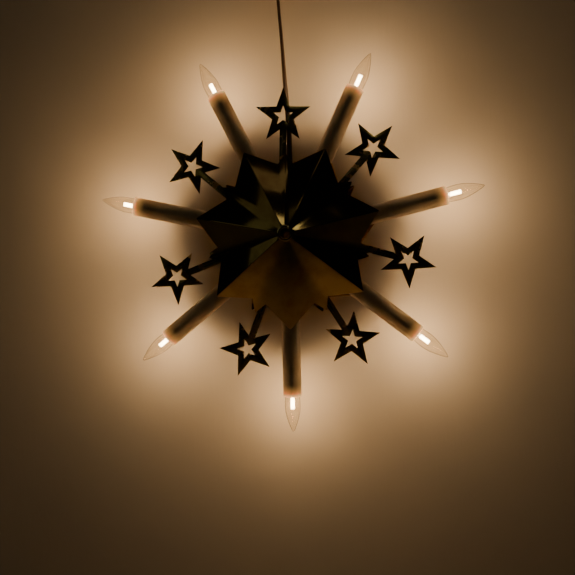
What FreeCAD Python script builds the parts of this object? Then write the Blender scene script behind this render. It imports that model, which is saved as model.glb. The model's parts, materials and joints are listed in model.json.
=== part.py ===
import FreeCAD, Part
import math
import os

from FreeCAD import Vector

# Electric advent star: two folded brass stars back to back on one hollow tube, with a
# fourteen-sided drum between them that carries seven candle lights and seven flat star arms.
# It hangs by a flat twin flex from a small ceiling cup.
# Millimetres, +Z up, front towards -Y. The origin is the middle of the ceiling plate's top
# face. Star pieces are built about the star's own centre and moved down when they are saved.

os.makedirs("parts", exist_ok=True)

# --- driving dimensions ---------------------------------------------------------------------
POINTS = 7
STEP = 360.0 / POINTS

# folded star sheets
STAR_TIP_R = 90.0
STAR_HEIGHT = 26.5          # apex ahead of the long tips
STUB_TIP_R = STAR_TIP_R - 8.5           # short points at the ends of the valleys
INNER_R = STAR_TIP_R - 20.5              # corners between a long point and a short one
STUB_HALF_ANGLE = 5.85
SHEET = 0.6
BOSS_DEPTH = 3.2            # how far the apex is flattened for the nut
FRONT_TURN = 0.5
REAR_TURN = -2.5
CORD_NOTCH = 8.0            # slot in the rear star where the flex leaves

# centre tube and its nuts
TUBE_R = 5.0
TUBE_BORE_R = 4.2
TUBE_STICK_OUT = 0.8
TUBE_HOLE_CLEAR = 0.2
NUT_R = 7.7
NUT_T = 4.0
NUT_CHAMFER = 0.8
SPACER_WALL = 1.5

# drum
DRUM_APOTHEM = 32.0
DRUM_HALF = 12.0
DRUM_WALL = 1.5

# flat star arms
ARM_T = 1.0
ARM_LENGTH = 55.0           # pivot to the middle of the small star
ARM_STEM_W = 6.6
ARM_EYE_R = 5.0
ARM_STAR_R = 28.0
ARM_STAR_INNER = 0.40       # inner corners, as a share of the points' radius
CUTOUT_R = 10.2
ARM_PIVOT_R = 63.0
ARM_REST = (4.4, 5.4, -3.9, 8.7, -2.0, -2.4, 6.8)
ARM_SIDE_CLEAR = 0.6        # arm to the folded stars
ARM_AXIAL_CLEAR = 0.3       # arm to its bracket and its rivet head
RIVET_R = 1.5
RIVET_RUNNING_CLEAR = 0.05
RIVET_HEAD_R = 3.0
RIVET_HEAD_T = 1.0
BRACKET_T = 1.2
BRACKET_W = 6.0
BRACKET_FOOT = 9.0
# pivots stand to one side of their drum face, as far as a bracket's foot has room
ARM_SIDE = round(DRUM_APOTHEM * math.tan(math.pi / (2 * POINTS)) - BRACKET_W / 2 - 0.1, 1)
FOOT_RIVET_R = 1.2

# candles
CANDLE_TUBE_R = 4.0
CANDLE_TUBE_BORE_R = 3.0
CANDLE_TUBE_START_R = 26.0
TUBE_NUT_FLATS = 0.375 * DRUM_APOTHEM
TUBE_NUT_T = 2.5
SLEEVE_R = 9.1
SLEEVE_WALL = 1.0
SLEEVE_START_R = 58.0
SLEEVE_END_R = 156.3
PLUG_T = 4.0
PRESS = 0.05
HOLDER_LENGTH = 26.0
HOLDER_SET_BACK = 4.0       # holder rim inside the sleeve's mouth
HOLDER_CLEAR = 0.5          # holder body inside the sleeve
HOLDER_RIB = 3.0
SOCKET_DEPTH = 9.5
SOCKET_CLEAR = 0.3
TUBE_IN_HOLDER = 5.0

# screw-in candle bulbs
CAP_R = 4.7
CAP_LENGTH = 9.0
CAP_THREADS = 4
THREAD_DEPTH = 0.35
PIP_R = 1.8
PIP_T = 0.8
SEAT_GAP = 0.3              # pip to the bottom of the socket
GLASS_LENGTH = 38.0
GLASS_R = 7.7
GLASS_BASE_R = 7.0
GLASS_WALL = 0.8
GLASS_NECK_R = 4.2
GLASS_NECK = 2.5
STEM_LENGTH = 12.0
BULB_OUT = (1.1, 2.0, 2.4, 1.9, 0.5, 0.0, 0.0)      # how far each one is left unscrewed

# wiring
WIRE_R = 0.75
WIRE_OFFSET = 1.2
WIRE_CORNER_R = 21.0
BLOCK_X = 24.0
BLOCK_Y = 7.0
BLOCK_Z = 10.0
BLOCK_LOW_Z = 9.0
SUPPLY_CORNER_R = 15.5
SUPPLY_BEND = 2.4
CORE_SPACING = 2.4

# flex, its bushing and the ceiling cup
FLEX_W = 5.4
FLEX_T = 3.0
BUSH_R = 4.2
BUSH_LENGTH = 6.0
BUSH_FLANGE_R = 5.4
BUSH_FLANGE_T = 1.2
FLEX_ROUTE = (
    (3.0, 6.8, 30.5),
    (3.0, 6.9, 48.0),
    (2.8, 6.5, 66.0),
    (2.6, 5.2, 85.0),
    (2.9, 4.2, 104.0),
    (1.3, 4.0, 132.0),
    (-0.5, 4.1, 160.0),
    (-2.0, 4.0, 190.0),
    (-3.9, 4.1, 218.0),
    (-5.4, 4.0, 244.0),
    (-5.5, 4.0, 264.0),
)
STAR_DROP = 276.0           # ceiling face to the star's centre
CUP_R = 26.0
CUP_NECK_R = 9.0
CUP_HEIGHT = 26.0
CUP_WALL = 1.6
PLATE_T = 2.0
PLATE_SCREW_SPACING = 34.0
PLATE_SCREW_R = 2.1
GRIP_R = 5.6
GRIP_LENGTH = 14.0
GRIP_FLANGE_R = 8.0
CEILING_BLOCK = (16.0, 10.0, 10.0)

# --- derived --------------------------------------------------------------------------------
CUP_AXIS = Vector(FLEX_ROUTE[-1][0], FLEX_ROUTE[-1][1], 0)
STAR_CENTRE = Vector(-CUP_AXIS.x, -CUP_AXIS.y, -STAR_DROP)
UP, OUT, FRONT = Vector(0, 0, 1), Vector(1, 0, 0), Vector(0, -1, 0)
SLEEVE_BORE_R = SLEEVE_R - SLEEVE_WALL
HOLDER_R = SLEEVE_BORE_R - HOLDER_CLEAR
HOLDER_END_R = SLEEVE_END_R - HOLDER_SET_BACK
HOLDER_START_R = HOLDER_END_R - HOLDER_LENGTH
SOCKET_BOTTOM_R = HOLDER_END_R - SOCKET_DEPTH
SOCKET_R = CAP_R + SOCKET_CLEAR
TUBE_HOLE_R = TUBE_R + TUBE_HOLE_CLEAR


def fold_slopes():
    """Slopes of the ridges and the valleys of a star folded from one flat disc.

    Each of the fourteen sectors keeps its flat angle, which ties the valley to the ridge."""
    ridge = math.atan(STAR_HEIGHT / STAR_TIP_R)
    sector = math.cos(math.radians(STEP / 2))
    low, high = ridge * 1.01, min(1.4, ridge * 3)
    for _ in range(60):
        mid = (low + high) / 2
        miss = sector * (1 - math.cos(ridge) * math.cos(mid)) - math.sin(ridge) * math.sin(mid)
        low, high = (mid, high) if miss < 0 else (low, mid)
    return math.tan(ridge), math.tan(mid)


RIDGE_SLOPE, VALLEY_SLOPE = fold_slopes()
ACROSS_SLOPE = (VALLEY_SLOPE * math.cos(math.radians(STEP / 2)) - RIDGE_SLOPE) / math.sin(
    math.radians(STEP / 2))
SHEET_Y = SHEET * math.sqrt(1 + VALLEY_SLOPE ** 2 + ACROSS_SLOPE ** 2)
APEX_Y = ARM_T / 2 + ARM_SIDE_CLEAR + SHEET_Y + STUB_TIP_R * VALLEY_SLOPE
BOSS_Y = APEX_Y - BOSS_DEPTH
BRACKET_Y = ARM_T / 2 + ARM_AXIAL_CLEAR


# --- helpers --------------------------------------------------------------------------------
def polar(r, degrees, y=0.0):
    a = math.radians(degrees)
    return Vector(r * math.cos(a), y, r * math.sin(a))


def candle_angle(k):
    return 270.0 + k * STEP


def arm_angle(k):
    return 270.0 + (k - 0.5) * STEP


def outward(shape, degrees):
    """Turns a shape built along +Z to point outwards at this angle of the star."""
    turned = shape.copy()
    turned.rotate(Vector(0, 0, 0), Vector(0, 1, 0), 90.0 - degrees)
    return turned


def rod(radius, start, end, axis=UP):
    return Part.makeCylinder(radius, end - start, axis * start, axis)


def depth_rod(radius, front_y, rear_y, centre=Vector(0, 0, 0)):
    """A cylinder along Y from front_y to rear_y."""
    return Part.makeCylinder(radius, rear_y - front_y, centre + Vector(0, front_y, 0), Vector(0, 1, 0))


def plate(points, thickness):
    """A flat plate in the XZ plane, centred on y = 0."""
    corners = [Vector(x, -thickness / 2, z) for x, z in points]
    face = Part.Face(Part.makePolygon(corners + corners[:1]))
    return face.extrude(Vector(0, thickness, 0))


def turned_profile(points):
    """A solid of revolution about Z from (radius, height) points."""
    corners = [Vector(r, 0, z) for r, z in points]
    face = Part.Face(Part.makePolygon(corners + corners[:1]))
    return face.revolve(Vector(0, 0, 0), UP, 360)


def rounded_path(points, radii_out=None):
    """Straight runs joined by tangent arcs, each as large as its two runs allow."""
    pts = [Vector(*p) for p in points]
    edges = []
    start = pts[0]
    for before, corner, after in zip(pts, pts[1:], pts[2:]):
        a, b = (before - corner), (after - corner)
        tangent = 0.45 * min(a.Length, b.Length)
        half_turn = (math.pi - a.getAngle(b)) / 2
        a.normalize()
        b.normalize()
        if radii_out is not None:
            radii_out.append(tangent / math.tan(half_turn))
        first, last = corner + a * tangent, corner + b * tangent
        bisector = (a + b).normalize()
        radius = tangent / math.tan(half_turn)
        centre = corner + bisector * (radius / math.cos(half_turn))
        middle = centre - bisector * radius
        edges.append(Part.LineSegment(start, first).toShape())
        edges.append(Part.Arc(first, middle, last).toShape())
        start = last
    edges.append(Part.LineSegment(start, pts[-1]).toShape())
    return Part.Wire(edges)


def round_wire(points, radius):
    path = rounded_path(points)
    first, second = Vector(*points[0]), Vector(*points[1])
    section = Part.Wire(Part.makeCircle(radius, first, second - first))
    return path.makePipeShell([section], True, False)


def save(name, *shapes):
    """Writes one node's solids, moved from the star's centre to the part's frame."""
    body = shapes[0] if len(shapes) == 1 else Part.makeCompound(list(shapes))
    body = body.copy()
    body.translate(STAR_CENTRE)
    body.exportStep("parts/%s.step" % name)


# --- folded stars ---------------------------------------------------------------------------
def sheet_y(x, z):
    """Depth of one facet at (x, z), for a valley that runs along +Z, before flattening."""
    return -APEX_Y + VALLEY_SLOPE * z - ACROSS_SLOPE * abs(x)


def facet(side):
    """Half of one valley: from the valley line to the ridge on one side."""
    ridge_angle = math.radians(STEP / 2)
    corner_angle = math.radians(STUB_HALF_ANGLE)
    outline = [
        (0.0, BOSS_DEPTH / VALLEY_SLOPE),
        (0.0, STUB_TIP_R),
        (side * INNER_R * math.sin(corner_angle), INNER_R * math.cos(corner_angle)),
        (side * STAR_TIP_R * math.sin(ridge_angle), STAR_TIP_R * math.cos(ridge_angle)),
        (side * BOSS_DEPTH / RIDGE_SLOPE * math.sin(ridge_angle),
         BOSS_DEPTH / RIDGE_SLOPE * math.cos(ridge_angle)),
    ]
    corners = [Vector(x, sheet_y(x, z), z) for x, z in outline]
    face = Part.Face(Part.makePolygon(corners + corners[:1]))
    return face.extrude(Vector(0, SHEET_Y, 0))


def folded_star(turn):
    rim = []
    pieces = []
    for k in range(POINTS):
        rim.append(polar(BOSS_DEPTH / RIDGE_SLOPE, candle_angle(k), -BOSS_Y))
        rim.append(polar(BOSS_DEPTH / VALLEY_SLOPE, candle_angle(k) + STEP / 2, -BOSS_Y))
        for side in (-1, 1):
            pieces.append(outward(facet(side), candle_angle(k) + STEP / 2))
    boss = Part.Face(Part.makePolygon(rim + rim[:1])).extrude(Vector(0, SHEET_Y, 0))
    star = boss.multiFuse(pieces).removeSplitter()
    star = star.cut(depth_rod(TUBE_HOLE_R, -APEX_Y, APEX_Y))
    star.rotate(Vector(0, 0, 0), FRONT, turn)
    return star


def front_star():
    return folded_star(FRONT_TURN)


def rear_star():
    star = folded_star(-REAR_TURN)
    star.rotate(Vector(0, 0, 0), UP, 180)
    low = Vector(FLEX_ROUTE[2][0] - CORD_NOTCH / 2, 0, INNER_R - CORD_NOTCH)
    notch = Part.makeBox(CORD_NOTCH, APEX_Y, STUB_TIP_R, low)
    return star.cut(notch)


# --- centre tube, nuts, spacers and drum ------------------------------------------------------
def centre_tube():
    end = BOSS_Y + NUT_T + TUBE_STICK_OUT
    return depth_rod(TUBE_R, -end, end).cut(depth_rod(TUBE_BORE_R, -end, end))


def ring_nut(side):
    outline = [
        (TUBE_R, 0.0),
        (NUT_R, 0.0),
        (NUT_R, NUT_T - NUT_CHAMFER),
        (NUT_R - NUT_CHAMFER, NUT_T),
        (TUBE_R, NUT_T),
    ]
    nut = turned_profile(outline)
    nut.translate(Vector(0, 0, BOSS_Y))
    nut.rotate(Vector(0, 0, 0), OUT, -90 * side)
    return nut


def spacer(front_y, rear_y):
    outer = depth_rod(TUBE_R + SPACER_WALL, front_y, rear_y)
    return outer.cut(depth_rod(TUBE_R, front_y, rear_y))


def drum_prism(apothem, front_y, rear_y):
    """A fourteen-sided prism with one flat face under every candle and every arm."""
    corner_r = apothem / math.cos(math.pi / (2 * POINTS))
    corners = [polar(corner_r, candle_angle(0) + (n + 0.5) * STEP / 2, front_y)
               for n in range(2 * POINTS)]
    face = Part.Face(Part.makePolygon(corners + corners[:1]))
    return face.extrude(Vector(0, rear_y - front_y, 0))


def drum_cup():
    cup = drum_prism(DRUM_APOTHEM, -DRUM_HALF, DRUM_HALF)
    cup = cup.cut(drum_prism(DRUM_APOTHEM - DRUM_WALL, -DRUM_HALF, DRUM_HALF - DRUM_WALL))
    cutters = [depth_rod(TUBE_R, -DRUM_HALF, DRUM_HALF)]
    for k in range(POINTS):
        cutters.append(outward(rod(CANDLE_TUBE_R, DRUM_APOTHEM / 2, DRUM_APOTHEM * 2), candle_angle(k)))
    x, y, _ = FLEX_ROUTE[0]
    cutters.append(Part.makeCylinder(BUSH_R, DRUM_APOTHEM, Vector(x, y, DRUM_APOTHEM / 2), UP))
    return cup.cut(Part.makeCompound(cutters))


def drum_lid():
    lid = drum_prism(DRUM_APOTHEM, -DRUM_HALF - DRUM_WALL, -DRUM_HALF)
    return lid.cut(depth_rod(TUBE_R, -DRUM_HALF - DRUM_WALL, -DRUM_HALF))


# --- star arms --------------------------------------------------------------------------------
def star_outline(radius, share):
    """Corners of a five-pointed star about (0, 0), one point up."""
    corners = []
    for n in range(10):
        r = radius if n % 2 == 0 else radius * share
        a = math.radians(90 + 36 * n)
        corners.append((r * math.cos(a), r * math.sin(a)))
    return corners


def beside_face(shape, k):
    """Places a shape built along +Z at drum face k, moved to its anticlockwise side."""
    shape.translate(Vector(-ARM_SIDE, 0, 0))
    return outward(shape, arm_angle(k))


def star_arm(k):
    star = plate(star_outline(ARM_STAR_R, ARM_STAR_INNER), ARM_T)
    star = star.cut(plate(star_outline(CUTOUT_R, ARM_STAR_INNER), 2 * ARM_T))
    stem_top = -CUTOUT_R * ARM_STAR_INNER - SHEET
    half = ARM_STEM_W / 2
    stem = plate([(-half, stem_top), (half, stem_top), (half, -ARM_LENGTH), (-half, -ARM_LENGTH)], ARM_T)
    eye = depth_rod(ARM_EYE_R, -ARM_T / 2, ARM_T / 2, Vector(0, 0, -ARM_LENGTH))
    arm = star.multiFuse([stem, eye]).removeSplitter()
    arm = arm.cut(depth_rod(RIVET_R + RIVET_RUNNING_CLEAR, -ARM_T, ARM_T, Vector(0, 0, -ARM_LENGTH)))
    arm.translate(Vector(0, 0, ARM_PIVOT_R + ARM_LENGTH))
    arm.rotate(Vector(0, 0, ARM_PIVOT_R), FRONT, ARM_REST[k])
    return beside_face(arm, k)


def arm_bracket(k):
    """An L of strip: its foot is riveted to a drum face and its leg carries the arm's pivot."""
    half = BRACKET_W / 2
    low = Vector(-half, BRACKET_Y, DRUM_APOTHEM)
    leg = Part.makeBox(BRACKET_W, BRACKET_T, ARM_PIVOT_R - DRUM_APOTHEM, low)
    end = depth_rod(half, BRACKET_Y, BRACKET_Y + BRACKET_T, Vector(0, 0, ARM_PIVOT_R))
    foot_low = Vector(-half, BRACKET_Y + BRACKET_T - BRACKET_FOOT, DRUM_APOTHEM)
    foot = Part.makeBox(BRACKET_W, BRACKET_FOOT, BRACKET_T, foot_low)
    bracket = leg.multiFuse([end, foot]).removeSplitter()
    bracket = bracket.cut(depth_rod(RIVET_R, 0, DRUM_HALF, Vector(0, 0, ARM_PIVOT_R)))
    return beside_face(bracket, k)


def arm_rivet(k):
    centre = Vector(0, 0, ARM_PIVOT_R)
    head_y = -ARM_T / 2 - ARM_AXIAL_CLEAR
    tail_y = BRACKET_Y + BRACKET_T
    head = depth_rod(RIVET_HEAD_R, head_y - RIVET_HEAD_T, head_y, centre)
    shank = depth_rod(RIVET_R, head_y, tail_y, centre)
    tail = depth_rod(RIVET_HEAD_R - 0.5, tail_y, tail_y + RIVET_HEAD_T, centre)
    return beside_face(head.multiFuse([shank, tail]).removeSplitter(), k)


def foot_rivet(k):
    """A dome-headed rivet that holds a bracket's foot to the drum."""
    y = BRACKET_Y + BRACKET_T - BRACKET_FOOT / 2
    centre = Vector(0, y, DRUM_APOTHEM + BRACKET_T)
    head = Part.makeCylinder(2 * FOOT_RIVET_R, RIVET_HEAD_T, centre, UP)
    return beside_face(head, k)


# --- candles ----------------------------------------------------------------------------------
def candle_tube(k):
    end = HOLDER_START_R + TUBE_IN_HOLDER
    tube = rod(CANDLE_TUBE_R, CANDLE_TUBE_START_R, end)
    return outward(tube.cut(rod(CANDLE_TUBE_BORE_R, CANDLE_TUBE_START_R, end)), candle_angle(k))


def tube_nut(k):
    """The nut that holds a candle tube to the outside of its drum face."""
    corner_r = TUBE_NUT_FLATS / 2 / math.cos(math.radians(30))
    corners = [Vector(corner_r * math.cos(math.radians(60 * n)), corner_r * math.sin(math.radians(60 * n)),
                      DRUM_APOTHEM) for n in range(6)]
    nut = Part.Face(Part.makePolygon(corners + corners[:1])).extrude(Vector(0, 0, TUBE_NUT_T))
    nut = nut.cut(rod(CANDLE_TUBE_R, 0, STAR_TIP_R))
    return outward(nut, candle_angle(k))


def sleeve_plug(k):
    """The disc that centres a sleeve's inner end on its tube."""
    plug = rod(SLEEVE_BORE_R + PRESS, SLEEVE_START_R, SLEEVE_START_R + PLUG_T)
    return outward(plug.cut(rod(CANDLE_TUBE_R, 0, STAR_TIP_R)), candle_angle(k))


def candle_sleeve(k):
    sleeve = rod(SLEEVE_R, SLEEVE_START_R, SLEEVE_END_R)
    return outward(sleeve.cut(rod(SLEEVE_BORE_R, SLEEVE_START_R, SLEEVE_END_R)), candle_angle(k))


def lampholder(k):
    body = rod(HOLDER_R, HOLDER_START_R, HOLDER_END_R)
    ribs = [rod(SLEEVE_BORE_R + PRESS, start, start + HOLDER_RIB)
            for start in (HOLDER_START_R + HOLDER_RIB, SOCKET_BOTTOM_R - HOLDER_RIB)]
    body = body.multiFuse(ribs).removeSplitter()
    body = body.cut(rod(CANDLE_TUBE_R, HOLDER_START_R, HOLDER_START_R + TUBE_IN_HOLDER))
    return outward(body.cut(rod(SOCKET_R, SOCKET_BOTTOM_R, HOLDER_END_R)), candle_angle(k))


def cap_start_r(k):
    return SOCKET_BOTTOM_R + SEAT_GAP + PIP_T + BULB_OUT[k]


def bulb_base(k):
    """The screw cap with its contact pip, and the glass stem that stands in it."""
    pitch = CAP_LENGTH / (CAP_THREADS + 1)
    outline = [(0.0, -PIP_T), (PIP_R, -PIP_T), (PIP_R, 0.0), (CAP_R - 1.0, 0.0)]
    for n in range(CAP_THREADS):
        outline.append((CAP_R, (n + 0.5) * pitch))
        outline.append((CAP_R - THREAD_DEPTH, (n + 1.0) * pitch))
    outline += [(CAP_R, CAP_LENGTH - pitch / 2), (CAP_R, CAP_LENGTH), (0.0, CAP_LENGTH)]
    cap = turned_profile(outline)
    cap = cap.cut(rod(GLASS_NECK_R - PRESS, CAP_LENGTH - GLASS_NECK, CAP_LENGTH))
    bottom = CAP_LENGTH - GLASS_NECK
    stem = turned_profile([(0.0, bottom), (2.4, bottom), (1.0, bottom + STEM_LENGTH),
                           (0.0, bottom + STEM_LENGTH)])
    body = Part.makeCompound([cap, stem])
    body.translate(Vector(0, 0, cap_start_r(k)))
    return outward(body, candle_angle(k))


def glass_profile(wall):
    """The pointed glass, from its neck to its tip, with its outline moved in by the wall."""
    tip = GLASS_LENGTH - 1.6 * wall
    neck = GLASS_NECK_R - wall
    base = Vector(GLASS_BASE_R - wall, 0, 2.4)
    widest = Vector(GLASS_R - wall, 0, 13.0)
    taper = Vector(0.46 * GLASS_R - 0.8 * wall, 0, 31.0)
    corners = [Vector(0, 0, tip), Vector(0, 0, -GLASS_NECK), Vector(neck, 0, -GLASS_NECK),
               Vector(neck, 0, 0.4 + wall), base]
    edges = [Part.LineSegment(a, b).toShape() for a, b in zip(corners, corners[1:])]
    edges.append(Part.Arc(base, Vector(GLASS_R - 0.15 - wall, 0, 8.0), widest).toShape())
    edges.append(Part.Arc(widest, Vector(0.83 * GLASS_R - wall, 0, 22.0), taper).toShape())
    blunt = Vector(0.9 - wall, 0, tip - 0.6)
    edges.append(Part.LineSegment(taper, blunt).toShape())
    edges.append(Part.LineSegment(blunt, corners[0]).toShape())
    return Part.Face(Part.Wire(edges)).revolve(Vector(0, 0, 0), UP, 360)


def bulb_glass(k):
    glass = glass_profile(0.0).cut(glass_profile(GLASS_WALL))
    glass.translate(Vector(0, 0, cap_start_r(k) + CAP_LENGTH))
    return outward(glass, candle_angle(k))


# --- wiring -----------------------------------------------------------------------------------
def beside(r, degrees, sideways):
    """A point out along a candle, moved sideways, anticlockwise as seen from the front."""
    a = math.radians(degrees)
    return polar(r, degrees) + Vector(-math.sin(a), 0, math.cos(a)) * sideways


def series_wire(k):
    """One link of the series circuit, from candle k to candle k + 1 through the drum."""
    here, there = candle_angle(k), candle_angle(k + 1)
    far = HOLDER_START_R + TUBE_IN_HOLDER
    return round_wire([
        tuple(beside(far, here, WIRE_OFFSET)),
        tuple(beside(WIRE_CORNER_R, here, WIRE_OFFSET)),
        tuple(beside(WIRE_CORNER_R, there, -WIRE_OFFSET)),
        tuple(beside(far, there, -WIRE_OFFSET)),
    ], WIRE_R)


def block_front_y():
    return DRUM_HALF - DRUM_WALL - BLOCK_Y


def supply_wire(k, sideways):
    """From the terminal block out to the candle on one side of the top arm."""
    far = HOLDER_START_R + TUBE_IN_HOLDER
    outer = beside(far, candle_angle(k), sideways)
    corner = beside(SUPPLY_CORNER_R, candle_angle(k), sideways)
    inner = corner + Vector(0, block_front_y() + 2.0, 0)
    before = corner + (outer - corner).normalize() * SUPPLY_BEND
    after = corner + Vector(0, SUPPLY_BEND, 0)
    centre = before + after - corner
    middle = centre + (corner - centre).normalize() * SUPPLY_BEND
    path = Part.Wire([
        Part.LineSegment(outer, before).toShape(),
        Part.Arc(before, middle, after).toShape(),
        Part.LineSegment(after, inner).toShape(),
    ])
    section = Part.Wire(Part.makeCircle(WIRE_R, outer, before - outer))
    return path.makePipeShell([section], True, False)


def flex_core(side):
    """One of the flex's two cores, from the flex's cut end to the terminal block."""
    x, y, z = FLEX_ROUTE[0]
    top = BLOCK_LOW_Z + BLOCK_Z - 2.0
    return Part.makeCylinder(WIRE_R, z - top, Vector(x, y + side * CORE_SPACING / 2, top), UP)


def terminal_block():
    low = Vector(-BLOCK_X / 2, block_front_y(), BLOCK_LOW_Z)
    return Part.makeBox(BLOCK_X, BLOCK_Y, BLOCK_Z, low)


def block_screw(x):
    centre = Vector(x, 0, BLOCK_LOW_Z + BLOCK_Z / 2)
    return depth_rod(1.5, block_front_y() - 1.0, block_front_y(), centre)


# --- flex and ceiling cup ---------------------------------------------------------------------
def flex_section(point, direction):
    """The flat twin section, its wide side across the depth of the star."""
    flat = FLEX_W - FLEX_T
    edges = []
    half, r = flat / 2, FLEX_T / 2
    corners = [Vector(-r, -half, 0), Vector(-r, half, 0), Vector(r, half, 0), Vector(r, -half, 0)]
    edges.append(Part.LineSegment(corners[0], corners[1]).toShape())
    edges.append(Part.Arc(corners[1], Vector(0, half + r, 0), corners[2]).toShape())
    edges.append(Part.LineSegment(corners[2], corners[3]).toShape())
    edges.append(Part.Arc(corners[3], Vector(0, -half - r, 0), corners[0]).toShape())
    section = Part.Wire(edges)
    section.Placement = FreeCAD.Placement(point, FreeCAD.Rotation(UP, direction))
    return section


def flex():
    radii = []
    path = rounded_path(FLEX_ROUTE, radii)
    first, second = Vector(*FLEX_ROUTE[0]), Vector(*FLEX_ROUTE[1])
    solid = path.makePipeShell([flex_section(first, second - first)], True, False)
    area = (FLEX_W - FLEX_T) * FLEX_T + math.pi * FLEX_T ** 2 / 4
    print("flex length %.1f, arc radii %s" % (path.Length, [round(r) for r in radii]))
    print("flex volume %.1f against section x length %.1f" % (solid.Volume, area * path.Length))
    return solid


def straight_flex(low_z, high_z, at):
    """A straight piece of the flex's section, for the holes that it passes through."""
    section = flex_section(Vector(at.x, at.y, low_z), UP)
    return Part.Face(section).extrude(Vector(0, 0, high_z - low_z))


def flex_bushing():
    x, y, z = FLEX_ROUTE[0]
    outside = DRUM_APOTHEM
    body = Part.makeCylinder(BUSH_R, outside - z, Vector(x, y, z), UP)
    flange = Part.makeCylinder(BUSH_FLANGE_R, BUSH_FLANGE_T, Vector(x, y, outside), UP)
    flange = flange.cut(Part.makeBox(4 * BUSH_R, 2 * BUSH_R, 2 * BUSH_LENGTH,
                                     Vector(x - 2 * BUSH_R, BRACKET_Y + BRACKET_T - 2 * BUSH_R, z)))
    cone = Part.makeCone(BUSH_R, FLEX_W / 2 + 0.6, BUSH_LENGTH, Vector(x, y, outside + BUSH_FLANGE_T), UP)
    bush = body.multiFuse([flange, cone]).removeSplitter()
    return bush.cut(straight_flex(z, outside + 2 * BUSH_LENGTH, Vector(x, y, 0)))


def cup_top_z():
    return STAR_DROP - PLATE_T


def ceiling_plate():
    disc = Part.makeCylinder(CUP_R - CUP_WALL, PLATE_T, CUP_AXIS + UP * cup_top_z(), UP)
    holes = [Part.makeCylinder(PLATE_SCREW_R, 2 * PLATE_T,
                               CUP_AXIS + Vector(side * PLATE_SCREW_SPACING / 2, 0, cup_top_z() - 1), UP)
             for side in (-1, 1)]
    return disc.cut(Part.makeCompound(holes))


def cup_profile(wall):
    """A shallow bell: a flat neck, one round shoulder and a straight skirt."""
    skirt = CUP_R - wall
    low = STAR_DROP - CUP_HEIGHT + wall
    round_r = CUP_R - CUP_NECK_R - wall
    slant = round_r * math.sqrt(0.5)
    corners = [Vector(skirt, 0, low + round_r), Vector(skirt, 0, STAR_DROP), Vector(0, 0, STAR_DROP),
               Vector(0, 0, low), Vector(skirt - round_r, 0, low)]
    edges = [Part.LineSegment(a, b).toShape() for a, b in zip(corners, corners[1:])]
    middle = Vector(skirt - round_r + slant, 0, low + round_r - slant)
    edges.append(Part.Arc(corners[-1], middle, corners[0]).toShape())
    return Part.Face(Part.Wire(edges)).revolve(Vector(0, 0, 0), UP, 360)


def ceiling_cup():
    cup = cup_profile(0.0).cut(cup_profile(CUP_WALL))
    cup.translate(CUP_AXIS)
    return cup.cut(Part.makeCylinder(GRIP_R, CUP_HEIGHT, CUP_AXIS + UP * (STAR_DROP - 1.5 * CUP_HEIGHT), UP))


def cord_grip():
    """The screwed gland in the cup's neck, which clamps the flex."""
    low = STAR_DROP - CUP_HEIGHT
    start = low - 0.6 * GRIP_LENGTH
    body = Part.makeCylinder(GRIP_R, GRIP_LENGTH, CUP_AXIS + UP * start, UP)
    flange = Part.makeCylinder(GRIP_FLANGE_R, 3.0, CUP_AXIS + UP * (low - 3.0), UP)
    taper = Part.makeCone(GRIP_R - 1.6, GRIP_R, 3.0, CUP_AXIS + UP * (start - 3.0), UP)
    grip = body.multiFuse([flange, taper]).removeSplitter()
    return grip.cut(flex())


def ceiling_block():
    x, y, z = CEILING_BLOCK
    return Part.makeBox(x, y, z, CUP_AXIS + Vector(-x / 2, -y / 2, cup_top_z() - z))


# --- nodes ------------------------------------------------------------------------------------
save("front_star", front_star())
save("rear_star", rear_star())
save("centre_tube", centre_tube())
save("front_ring_nut", ring_nut(-1))
save("rear_ring_nut", ring_nut(1))
save("front_spacer", spacer(-BOSS_Y + SHEET_Y, -DRUM_HALF - DRUM_WALL))
save("rear_spacer", spacer(DRUM_HALF, BOSS_Y - SHEET_Y))
save("drum_cup", drum_cup())
save("drum_lid", drum_lid())
save("candle_tubes", *[candle_tube(k) for k in range(POINTS)])
save("tube_nuts", *[tube_nut(k) for k in range(POINTS)])
save("sleeve_plugs", *[sleeve_plug(k) for k in range(POINTS)])
save("arm_brackets", *[arm_bracket(k) for k in range(POINTS)])
save("arm_rivets", *[arm_rivet(k) for k in range(POINTS)])
save("bracket_rivets", *[foot_rivet(k) for k in range(POINTS)])
for number in range(POINTS):
    save("star_arm_%d" % (number + 1), star_arm(number))
    save("candle_sleeve_%d" % (number + 1), candle_sleeve(number))
    save("lampholder_%d" % (number + 1), lampholder(number))
    save("bulb_base_%d" % (number + 1), bulb_base(number))
    save("bulb_glass_%d" % (number + 1), bulb_glass(number))
save("series_wires", *[series_wire(k) for k in range(-3, 3)])
save("supply_wires", supply_wire(3, WIRE_OFFSET), supply_wire(4, -WIRE_OFFSET), flex_core(-1), flex_core(1))
save("terminal_block", terminal_block())
save("terminal_screws", block_screw(-BLOCK_X / 3), block_screw(BLOCK_X / 3))
save("flex_bushing", flex_bushing())
save("flex", flex())
save("cord_grip", cord_grip())
save("ceiling_cup", ceiling_cup())
save("ceiling_plate", ceiling_plate())
save("ceiling_block", ceiling_block())
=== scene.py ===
# %% [markdown]
# # Electric advent star
# A hanging lamp of polished brass. Two folded stars stand back to back on a small drum, and
# seven candle lights and seven flat little stars stand out between them. The exact sizes come
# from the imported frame, and this file gives each piece its finished surface.

# %% Open the frame
import json
import math

import bmesh
import bpy
from mathutils import Matrix, Vector


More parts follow.
